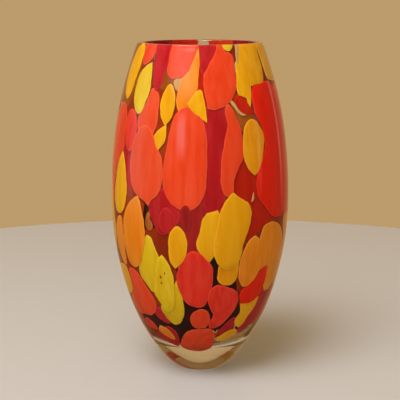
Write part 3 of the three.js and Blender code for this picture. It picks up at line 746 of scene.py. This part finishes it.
def level_of(points, depth):
    """How many steps a chip lies under its neighbours of the same depth."""
    angles, stations = [p[0] for p in points], [p[1] for p in points]
    box = (min(angles), max(angles), min(stations), max(stations))
    taken = {level for other, level, at in laid if at == depth
             and any(box[0] < other[1] + lap and other[0] + lap < box[1] for lap in (-360, 0, 360))
             and box[2] < other[3] and other[2] < box[3]}
    level = next(i for i in range(len(laid) + 1) if i not in taken)
    laid.append((box, level, depth))
    return level


print("levels are", LEVEL_STEP, "mm apart")

# %% [markdown]
# The sheet gets its thickness and its soft rim while it is still flat, which is when planes can slice
# it and an extrusion can thicken it without any thought for the curve of the wall.

# %% Cutting a chip
def thick_sheet(line, thickness):
    """The flat chip inside a closed line, sliced and with its softened rim, as a mesh."""
    bm = bmesh.new()
    bm.faces.new([bm.verts.new(p) for p in line])
    low, high = min(p.y for p in line), min(max(p.y for p in line), LAYER_TOP)
    left, right = min(p.x for p in line), max(p.x for p in line)
    bmesh.ops.bisect_plane(bm, geom=all_of(bm), dist=1e-4, plane_co=(0, LAYER_TOP, 0),
                           plane_no=(0, 1, 0), clear_outer=True)
    slice_sheet(bm, left, right, CELL_WIDE, 0)
    slice_sheet(bm, low, min(high, BOWL_END + 1), CELL_BOWL, 1)
    slice_sheet(bm, max(low, BOWL_END), high, CELL_TALL, 1)
    bmesh.ops.remove_doubles(bm, verts=bm.verts, dist=TINY_EDGE)
    grown = bmesh.ops.extrude_face_region(bm, geom=bm.faces[:], use_keep_orig=True)
    raised = [v for v in grown["geom"] if isinstance(v, bmesh.types.BMVert)]
    bmesh.ops.translate(bm, verts=raised, vec=(0, 0, thickness))
    bmesh.ops.recalc_face_normals(bm, faces=bm.faces)
    rim = [e for e in bm.edges if e.is_manifold and e.calc_face_angle() > RIM_ANGLE]
    bmesh.ops.bevel(bm, geom=rim, offset=thickness * SOFT_RIM, segments=2, profile=0.5,
                    affect="EDGES", clamp_overlap=True, material=-1)
    mesh = bpy.data.meshes.new("chip")
    bm.to_mesh(mesh)
    bm.free()
    return mesh


sample = thick_sheet(closed_curve(FRONT[0][3], 0), CHIP_THICK[0])
print("faces of the first chip", len(sample.polygons))
bpy.data.meshes.remove(sample)

# %% [markdown]
# The finished sheet is then carried onto the wall, point by point: what was across becomes the turn
# round the axis, what was up becomes the station, and the thickness goes out from the wall.

# %% Laying a chip on the wall
def chip_mesh(points, depth, order):
    """A chip on the wall. Its order gives its edge its wander, and the chip its tone."""
    line = closed_curve(points, order)
    mesh = thick_sheet(line, CHIP_THICK[depth])
    flat = np.empty(len(mesh.vertices) * 3)
    mesh.vertices.foreach_get("co", flat)
    flat = flat.reshape(-1, 3)
    sink = CHIP_FACE[depth] - CHIP_THICK[depth] - LEVEL_STEP * level_of(points, depth)
    radius, height = wall_point(flat[:, 1], flat[:, 2] + sink)
    turn = np.radians(flat[:, 0] / AROUND)
    placed = np.stack([radius * np.sin(turn), -radius * np.cos(turn), height], 1) * MM
    mesh.vertices.foreach_set("co", placed.ravel())
    edge = inside_edge(flat, line) if depth < 2 else [FAR_INSIDE] * len(flat)
    tone = [(order * TONE_STEP) % 1] * len(flat)
    for name, values in (("edge", edge), ("tone", tone)):
        mesh.attributes.new(name, "FLOAT", "POINT").data.foreach_set("value", values)
    return mesh


print("chip thicknesses by depth", CHIP_THICK)

# %% [markdown]
# The imported part has one material slot for each main colour. A few chips are a shade of their own here.
# A piece of one or more chips takes the material of its colour.


def chips_piece(name, chips, colour):
    """One object of one or more chips; chips is a list of (points, depth, order)."""
    bm = bmesh.new()
    for points, depth, order in chips:
        mesh = chip_mesh(points, depth, order)
        bm.from_mesh(mesh)
        bpy.data.meshes.remove(mesh)
    bmesh.ops.recalc_face_normals(bm, faces=bm.faces)
    piece = finished(name, bm, [GLASS[colour]], sharp=80)
    return piece


# %% [markdown]
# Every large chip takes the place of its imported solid.

# %% Laying the large chips
faces = 0
for order, (name, colour, depth, points) in enumerate(FRONT + BACK):
    piece = chips_piece(f"laid_{name}", [(points, depth, order)], colour)
    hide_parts(f"chip_{name}")
    faces += len(piece.data.polygons)
print("large chips", len(FRONT + BACK), "faces", faces)

# %% [markdown]
# Between the large chips lie small ones and slivers. They are too many to be separate solids in the
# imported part, so each colour's are one piece here. Three brown seeds lie on a lemon lance.

# %% Small chips of the front
SMALL = [
    ("coral", 1, [(-58, 306), (-57, 289), (-54, 282), (-48, 284), (-43, 289), (-41, 306)]),
    ("lemon", 0, [(20.5, 306), (21, 297), (25, 294), (29.5, 296.5), (31, 306)]),
    ("golden", 0, [(0.5, 263), (-4, 259), (-9, 251, 1), (-6, 246), (0, 240), (3, 237), (4.5, 235.5, 1),
        (4.3, 246), (2.5, 256)]),
    ("golden", 0, [(-84, 186), (-90, 172), (-92, 150), (-90, 128), (-84, 114), (-77, 118),
        (-73, 134), (-74, 150), (-77, 166), (-80, 180)]),
    ("orange", 1, [(-62, 149), (-67, 147), (-71, 138), (-72.5, 125), (-70, 112), (-66, 104),
        (-62, 106), (-60.5, 116), (-60, 130), (-60.5, 142)]),
    ("saffron", 1, [(13, 113), (12, 106), (12, 100), (15, 95), (20, 93), (24, 95), (26.5, 101),
        (27, 108), (26, 116), (18, 118)]),
    ("crimson", 0, [(-40.5, 64), (-36.5, 70), (-33, 71), (-31, 63), (-27, 57), (-34, 57.5)]),
    ("orange", 0, [(-45, 46, 1), (-41, 51.5), (-36, 51), (-31, 47), (-28.5, 41), (-30, 37),
        (-36, 38), (-42, 42)]),
    ("crimson", 1, [(-30, 52), (-24, 47), (-24, 40), (-30, 28), (-38, 24), (-47, 30), (-53, 38),
        (-47, 44), (-38, 50)]),
    ("red", 0, [(-63, 51, 1), (-57, 56.5), (-50, 55), (-45.5, 50), (-46, 47), (-53, 46), (-60, 47)]),
    ("golden", 0, [(18, 41, 1), (24, 45), (31, 49), (36, 49), (40, 45), (37, 41), (30, 37),
        (24, 35), (19.5, 37)]),
    ("crimson", 1, [(16, 43), (21, 53), (27, 60), (32, 61), (34, 54), (34, 48), (28, 44),
        (21, 40)]),
    ("golden", 0, [(-64, 103), (-72, 103), (-84, 97), (-86, 85), (-78, 75), (-68, 76),
        (-62, 82), (-61, 92), (-62, 99)]),
    ("brick", 1, [(26, 257), (33, 256), (38, 248, 1), (39.5, 243), (34, 240.5, 1), (30, 244),
        (25, 252)]),
    ("coral", 1, [(-70, 192), (-73, 176), (-75, 160), (-80, 150), (-90, 148), (-97, 166), (-96, 188),
        (-82, 198)]),
    ("coral", 1, [(14, 306), (15, 297), (16, 288), (21, 288), (21, 306)]),
    ("crimson", 0, [(-26, 157), (-23, 163), (-19, 162), (-16, 154), (-16, 146), (-20, 141),
        (-24, 141), (-26.5, 148)]),
    ("garnet", 0, [(-11, 165), (-8, 166), (-5.5, 158), (-6, 149), (-8, 144), (-10, 148),
        (-11.5, 156)]),
    ("umber", 3, [(-28.8, 101.2), (-27.9, 101.8), (-27.6, 99.6), (-28.6, 99)]),
    ("umber", 3, [(-28.4, 96), (-27.7, 95.6), (-27.9, 93.6), (-28.6, 94.2)]),
    ("umber", 3, [(-25, 104.6), (-24.3, 105), (-24.3, 103.2), (-24.9, 102.9)]),
    ("cream_and_painted_highlight", 2, [(-20.5, 268), (-18.5, 273), (-15, 273), (-14, 268), (-15.5, 262), (-18, 262)]),
    ("amber", 1, [(-37, 146), (-36, 155), (-34, 158), (-33, 152), (-31, 147), (-32, 143),
        (-35, 142)]),
    ("cream_and_painted_highlight", 0, [(19.5, 258, 1), (23, 254), (26, 249), (29, 244), (33.5, 241, 1), (30, 240.5),
        (27, 243), (23, 249.5)]),
    # Painted highlight: this pale sliver near the rim stands where the glass mirrors a narrow bright light.
    ("cream_and_painted_highlight", 0, [(31, 283, 1), (33, 284), (35, 292), (36.5, 301), (33.5, 301), (32, 292)]),
    ("cream_and_painted_highlight", 1, [(-23.5, 170, 1), (-22, 171.5), (-19.5, 170, 1), (-20, 168), (-22, 167.5)]),
    ("cream_and_painted_highlight", 1, [(15, 46, 1), (16, 49.5), (17.6, 51, 1), (16.6, 46.5)]),
    ("cream_and_painted_highlight", 1, [(34, 167, 1), (35, 173), (36, 175, 1), (36, 170), (35.2, 167)]),
    ("scarlet", 1, [(72, 260), (82, 266), (94, 262), (102, 240), (104, 210), (101, 180), (94, 158),
        (82, 150), (70, 150), (66, 160), (74, 196), (75, 230)]),
    ("scarlet", 1, [(-84, 248), (-92, 250), (-102, 240), (-108, 220), (-106, 198), (-98, 186),
        (-86, 184), (-80, 190), (-84, 214)]),
    ("golden", 1, [(-88, 182), (-98, 178), (-106, 164), (-108, 144), (-104, 124), (-94, 112),
        (-86, 116), (-88, 134), (-90, 160)]),
    ("orange", 1, [(-84, 108), (-98, 106), (-108, 96), (-108, 84), (-98, 74), (-84, 72), (-80, 84)]),
    ("orange", 1, [(70, 146), (80, 150), (90, 142), (94, 122), (92, 100), (82, 88), (72, 84),
        (73, 100), (73, 124)]),
]


def lay_small(chips, start, prefix):
    """One piece for each colour; start is the order of the first chip."""
    by_colour = {}
    for order, (colour, depth, points) in enumerate(chips, start):
        by_colour.setdefault(colour, []).append((points, depth, order))
    for colour, listed in by_colour.items():
        piece = chips_piece(f"{prefix}_{colour}", listed, colour)
        print(piece.name, len(listed), "chips")


lay_small(SMALL, 60, "small_front")

# %% [markdown]
# The small chips of the back and of the bowl's two sides are ovals with more or less pointed ends,
# which is the shape a crumb of glass takes when the bubble is drawn out. A row gives an oval's colour,
# the place of its middle, its width, height and lean, and how pointed it is.

# %% Small chips of the back
CRUMBS = [
    ("coral", 150, 176, 24, 32, 3, 0.3), ("golden", 206, 178, 18, 26, -2, 0.4),
    ("lemon", 100, 222, 12, 50, 2, 0.5), ("red", 161, 132, 9, 52, -1, 0.6),
    ("coral", 202, 138, 17, 52, 2, 0.4), ("lemon", 120.5, 128, 9, 46, 0, 0.5),
    ("red", 214, 82, 30, 34, 3, 0.2), ("orange", 236, 76, 32, 34, -3, 0.3),
    ("golden", 253, 62, 28, 26, 4, 0.3), ("orange", 144, 74, 18, 42, 2, 0.4),
    ("coral", -92, 38, 50, 24, 3, 0.2), ("golden", 92, 38, 50, 24, -3, 0.2),
    ("golden", 194, 236, 9, 30, 1, 0.6), ("orange", 139.5, 250, 8, 24, -1, 0.5),
    ("lemon", 250, 176, 14, 30, -3, 0.5), ("coral", 100, 176, 14, 28, 2, 0.4),
    ("red", 217, 262, 16, 22, 2, 0.4), ("orange", 97, 250, 10, 24, 0, 0.5),
]


def crumb(angle, station, wide, tall, lean, tip):
    """An oval outline, from its middle, its size and lean in mm, and how pointed its ends are."""
    outline = []
    for turn in np.linspace(0, 2 * math.pi, 10, endpoint=False):
        up = math.cos(turn)
        across = wide / 2 * math.sin(turn) * (1 - tip * up * up) + lean * up
        outline.append((angle + across / AROUND, station + tall / 2 * up))
    return outline


lay_small([(colour, 0, crumb(*place)) for colour, *place in CRUMBS], 90, "small_back")

# %% [markdown]
# Between and partly under those, the back has a sprinkling of smaller crumbs. Their places come from a
# seeded chance, so they are the same every time, and one that would land on another is left out.

# %% Sprinkled crumbs of the back
SPRINKLED = ("coral", "golden", "red", "orange", "lemon", "scarlet", "crimson")
ELBOW_ROOM = 0.42


def sprinkle(tries, seed):
    chance, spots, crumbs = random.Random(seed), [], []
    for _ in range(tries):
        angle, station = chance.uniform(84, 276), chance.uniform(60, 250)
        wide, tall = chance.uniform(8, 22), chance.uniform(14, 44)
        lean, tip = chance.uniform(-4, 4), chance.uniform(0.1, 0.7)
        spot = (angle, station, ELBOW_ROOM * wide / AROUND, ELBOW_ROOM * tall)
        if all(abs(angle - other[0]) > spot[2] + other[2] or abs(station - other[1]) > spot[3] + other[3]
               for other in spots):
            spots.append(spot)
            crumbs.append((chance.choice(SPRINKLED), 1, crumb(angle, station, wide, tall, lean, tip)))
    return crumbs


lay_small(sprinkle(1200, 5), 200, "sprinkled_back")

# %% [markdown]
# Half transparent chips slid underneath the others and spread the widest. They fill nearly every gap
# with a dark red or brown, and only a few places are left where the wall is clear right through. The
# heel works as a lens: from outside it shows the inner face of the bowl's far side. A pale sheet
# there is painted light: it stands in for the bright room that the heel shows, and gives the heel its
# pale beige tone. A coral and a golden sliver further in give it its two fine coloured rims.

# %% The half transparent layer underneath
UNDER = [
    ("amber", [(-96, 306), (-98, 284), (-94, 262), (-84, 250), (-74, 247), (-66, 244), (-60, 250),
        (-57, 262), (-56, 280), (-60, 306)]),
    ("umber", [(-61, 306), (-60, 290), (-60, 270), (-62, 252), (-60, 240), (-54, 234), (-46, 236),
        (-40, 246), (-38, 262), (-40, 280), (-44, 292), (-46, 306)]),
    ("umber", [(-33, 262), (-34, 246), (-36, 236), (-36, 222), (-33, 206), (-28, 198), (-21, 206),
        (-19, 220), (-17, 234), (-14, 246), (-16, 258), (-20, 264), (-28, 266)]),
    ("amber", [(-33, 286), (-34, 270), (-29, 262), (-23, 264), (-20, 273), (-21, 282), (-26, 288)]),
    ("brick", [(-7, 306), (-5, 282), (-4, 264), (-2, 248), (4, 240), (10, 246), (8, 262), (6, 278),
        (8, 290), (14, 306)]),
    ("umber", [(-28, 214), (-29, 196), (-27, 178), (-25, 173), (-17, 173), (-18, 190), (-20, 214)]),
    ("crimson", [(-65, 248), (-66, 236), (-63, 214), (-60, 204), (-58, 190), (-58, 168), (-50, 160),
        (-44, 168), (-46, 190), (-46, 214), (-44, 232), (-50, 246)]),
    ("brick", [(-106, 204), (-108, 150), (-106, 98), (-92, 90), (-78, 92), (-74, 130), (-64, 160),
        (-66, 190), (-80, 206)]),
    ("umber", [(-78, 150), (-70, 162), (-58, 170), (-48, 178), (-38, 176), (-38, 160), (-40, 146),
        (-38, 136), (-36, 126), (-40, 112), (-40, 98), (-48, 90), (-60, 88), (-70, 94), (-78, 108),
        (-80, 130)]),
    ("umber", [(-37, 142), (-29, 144), (-20, 143), (-17, 132), (-17, 112), (-14, 98), (-18, 92),
        (-26, 106), (-32, 116), (-37, 130)]),
    # Painted shade: a near black sheet that darkens the low front gaps, where the bowl's inside is in
    # shadow.
    ("painted_shade_ink", [(-19, 108), (-14, 113), (-8, 119), (2, 122), (8, 122), (12, 112), (14, 100), (24, 98),
        (34, 96), (35, 80), (36, 66), (34, 54), (26, 46), (19, 44), (14, 49), (0, 48), (-10, 46),
        (-20, 38), (-28, 42), (-36, 52), (-37, 62), (-30, 72), (-20, 90)]),
    ("umber", [(-68, 98), (-56, 105), (-46, 105), (-40, 94), (-34, 84), (-31, 74), (-34, 64),
        (-44, 57), (-58, 56), (-72, 58), (-80, 66), (-84, 74), (-72, 84)]),
    # Painted shade: a second near black sheet for the lowest front gaps.
    ("painted_shade_ink", [(-66, 60), (-50, 63), (-36, 63), (-22, 58), (-8, 60), (-6, 50), (-12, 44), (-24, 30),
        (-30, 26), (-24, 40), (-30, 50), (-40, 52), (-60, 54)]),
    ("umber", [(-64, 50), (-52, 50), (-44, 46), (-38, 40), (-36, 30), (-46, 28), (-56, 32),
        (-64, 37), (-74, 44)]),
    ("brick", [(30, 176), (37, 178), (44, 174), (54, 164), (64, 158), (74, 154), (78, 142), (74, 128),
        (66, 134), (56, 142), (46, 138), (42, 128), (36, 132), (29, 126), (27, 136), (30, 150),
        (33, 164)]),
    ("brick", [(28, 207), (22, 199), (19, 187), (18, 172), (25, 164), (33, 164), (38, 168), (41, 180),
        (42, 192), (37, 202)]),
    ("crimson", [(-16, 168), (-4, 172), (6, 172), (14, 172), (16, 160), (8, 152), (2, 140), (0, 124),
        (-8, 118), (-12, 130), (-12, 146)]),
    ("amber", [(16, 260), (24, 262), (31, 254), (36, 246), (40, 240), (44, 232), (36, 228), (29, 228),
        (24, 240), (17, 246)]),
    ("umber", [(10, 306), (14, 296), (22, 288), (30, 284), (32, 276), (34, 290), (36, 306)]),
    ("umber", [(52, 306), (54, 284), (56, 268), (60, 256), (72, 260), (74, 272), (68, 284),
        (70, 306)]),
    ("umber", [(26, 122), (30, 132), (40, 140), (48, 146), (60, 148), (72, 146), (78, 126), (78, 100),
        (74, 84), (60, 74), (48, 66), (36, 68), (30, 78), (27, 92), (25, 104)]),
    ("crimson", [(56, 78), (70, 84), (84, 88), (102, 82), (110, 66), (100, 56), (84, 52), (68, 50),
        (54, 49), (48, 54)]),
    ("crimson", [(-100, 72), (-88, 74), (-74, 66), (-62, 56), (-70, 50), (-84, 52), (-104, 58)]),
    ("brick", [(104, 262), (100, 230), (102, 196), (104, 160), (116, 150), (132, 152), (142, 162),
        (144, 196), (142, 232), (138, 262), (120, 268)]),
    ("crimson", [(138, 264), (138, 232), (140, 190), (146, 154), (158, 150), (166, 164), (166, 200),
        (164, 240), (164, 262), (150, 270)]),
    ("umber", [(184, 262), (188, 230), (188, 190), (194, 162), (210, 156), (222, 164), (222, 200),
        (220, 240), (218, 264), (200, 270)]),
    ("brick", [(214, 262), (216, 220), (216, 180), (228, 160), (248, 156), (264, 168), (270, 200),
        (266, 240), (256, 262), (234, 268)]),
    ("crimson", [(152, 176), (154, 130), (152, 96), (170, 88), (194, 90), (204, 104), (204, 150),
        (196, 178), (174, 184)]),
    ("umber", [(86, 166), (82, 130), (86, 92), (104, 86), (122, 90), (128, 130), (124, 166),
        (104, 172)]),
    ("umber", [(118, 160), (118, 120), (122, 92), (140, 86), (156, 92), (160, 130), (154, 162),
        (134, 168)]),
    ("brick", [(196, 170), (200, 130), (200, 96), (222, 86), (250, 90), (266, 106), (266, 150),
        (254, 176), (224, 180)]),
    # Painted light: a pale sheet whose colour stands in for the bright room that the heel shows.
    ("heel_painted_light", [(92, 62), (96, 46), (110, 32), (150, 24), (180, 22), (210, 24), (250, 32), (262, 46),
        (266, 62), (230, 64), (180, 66), (130, 64)]),
    ("coral", [(106, 39), (124, 38), (150, 38), (180, 36, 1), (180, 40, 1), (150, 45), (124, 45),
        (106, 44)]),
    ("golden", [(180, 36, 1), (210, 38), (236, 38), (254, 39), (254, 44), (236, 45), (210, 45),
        (180, 40, 1)]),
    # Painted shade: a near black sheet on the low far wall, which lies in the bowl's shadow.
    ("painted_shade_ink", [(96, 98), (96, 64), (110, 56), (150, 54), (200, 54), (240, 56), (266, 60), (270, 90),
        (240, 102), (190, 104), (140, 100)]),
]
lay_small([(colour, 2, points) for colour, points in UNDER], 130, "under")

# %% [markdown]
# The vase stands on a plain pale round table in a plain warm room. The table is matt, and it is left
# out of mirror reflections, so the lower wall keeps its colour. It lies a hair below the foot, so that
# glass and table don't share a face.

# %% Table
TABLE_RADIUS = 0.67
TABLE_DROP = 0.0003
table_mesh = bpy.data.meshes.new("table")
disc = bmesh.new()
bmesh.ops.create_circle(disc, cap_ends=True, segments=128, radius=TABLE_RADIUS)
disc.to_mesh(table_mesh)
disc.free()
table_top, table_tree, table_surface = new_material("table")
fill(table_tree, table_surface, {"Base Color": (0.44, 0.445, 0.45), "Roughness": 0.3})
table_mesh.materials.append(table_top)
table = bpy.data.objects.new("table", table_mesh)
table.location.z = -TABLE_DROP
table.visible_glossy = False
bpy.context.scene.collection.objects.link(table)
print("table radius", TABLE_RADIUS, "m")

# %% [markdown]
# One big soft lamp high in front to the left does nearly all the lighting, and a weak one low in front
# lifts the lower wall without being mirrored. The rest are panels for the glass to mirror, because it
# is their reflections that make a smooth wall look wet and round: a window and a skylight in front to
# the left, a pale wall at the left, and two faint slots at the right and behind. A panel's strength is
# given as its brightness, which is what a mirror shows.

# %% Soft lamps
SOFT_GAIN = 1.8


def soften(lamp):
    """Makes a lamp fade out towards its edges, as a soft box does."""
    lamp.use_nodes = True
    tree = lamp.node_tree
    place = add_node(tree, "NewGeometry").outputs["Parametric"]
    split = add_node(tree, "SeparateXYZ", {0: place}).outputs
    strength = SOFT_GAIN
    for axis in "XY":
        for edge, inner in ((0, 0.4), (1, 0.6)):
            strength = maths(tree, "MULTIPLY", strength, ramp(tree, split[axis], edge, inner, smooth=True))
    fill(tree, tree.nodes["Emission"], {"Strength": strength})


print("lamps fade towards their edges")

# %% [markdown]
# Then they are placed. A lamp is given by where it stands as seen from the vase, which it faces.

# %% Lamps and panels
AIM_HEIGHT = 0.16


def panel(name, azimuth, elevation, distance, size, brightness, mirrored=True):
    """A flat lamp that faces the vase from an azimuth (0 in front, positive to the right)."""
    lamp = bpy.data.lights.new(name, "AREA")
    lamp.shape = "RECTANGLE"
    lamp.size, lamp.size_y = size
    lamp.energy = brightness * math.pi * size[0] * size[1]
    soften(lamp)
    holder = bpy.data.objects.new(name, lamp)
    turn, lift = math.radians(azimuth), math.radians(elevation)
    away = Vector((math.sin(turn) * math.cos(lift), -math.cos(turn) * math.cos(lift), math.sin(lift)))
    holder.location = Vector((0, 0, AIM_HEIGHT)) + away * distance
    holder.rotation_euler = away.to_track_quat("Z", "Y").to_euler()
    holder.visible_camera = False
    holder.visible_transmission = False
    holder.visible_glossy = mirrored
    bpy.context.scene.collection.objects.link(holder)


panel("main_lamp", -32, 60, 2.2, (1.9, 1.9), 8.2)
panel("low_fill", 8, 18, 2.2, (1.4, 1.4), 1.6, mirrored=False)
panel("window", -25, 12, 1.7, (0.5, 0.6), 1.2)
panel("skylight", -30, 33, 2.2, (2.0, 0.9), 0.8)
panel("pale_wall", -92, 8, 2.2, (1.6, 2.2), 0.3)
panel("slot_right", 82, 6, 2.2, (0.34, 1.4), 0.2)
panel("slot_behind", 128, 4, 2.2, (0.3, 1.4), 0.25)

# %% [markdown]
# The room is one warm tone, seen round the vase and through its clear glass. Where the glass mirrors
# the room it is dimmer, as a room is where no lamp points, and the colours stay deep. Only the far
# side keeps its brightness in the mirror: the glass shows it at its very edges, and draws them light.

# %% Room
FAR_FROM, FAR_TO = 0.6, 0.97


def room(seen_colour, seen, mirrored_colour, mirrored):
    world = bpy.data.worlds.new("room")
    bpy.context.scene.world = world
    world.use_nodes = True
    tree = world.node_tree
    wall = fill(tree, tree.nodes["Background"], {"Color": seen_colour, "Strength": seen})
    dim = add_node(tree, "Background", {"Color": mirrored_colour, "Strength": mirrored})
    path = add_node(tree, "LightPath").outputs
    mirror = maths(tree, "SUBTRACT", path["Is Glossy Ray"], path["Is Transmission Ray"], clamp=True)
    place = add_node(tree, "TexCoord").outputs["Generated"]
    split = add_node(tree, "SeparateXYZ", {0: place}).outputs
    near_side = ramp(tree, split["Y"], FAR_FROM, FAR_TO, falling=True)
    show_mix(tree, maths(tree, "MULTIPLY", mirror, near_side), wall, dim, "World Output")


room((1.0, 0.66, 0.30), 0.5, (1.0, 0.64, 0.32), 0.2)
bpy.context.scene.view_settings.view_transform = "Standard"
print("room ready")

# %% [markdown]
# Last, the scene is brought up to date.

# %% Finish
bpy.context.view_layer.update()
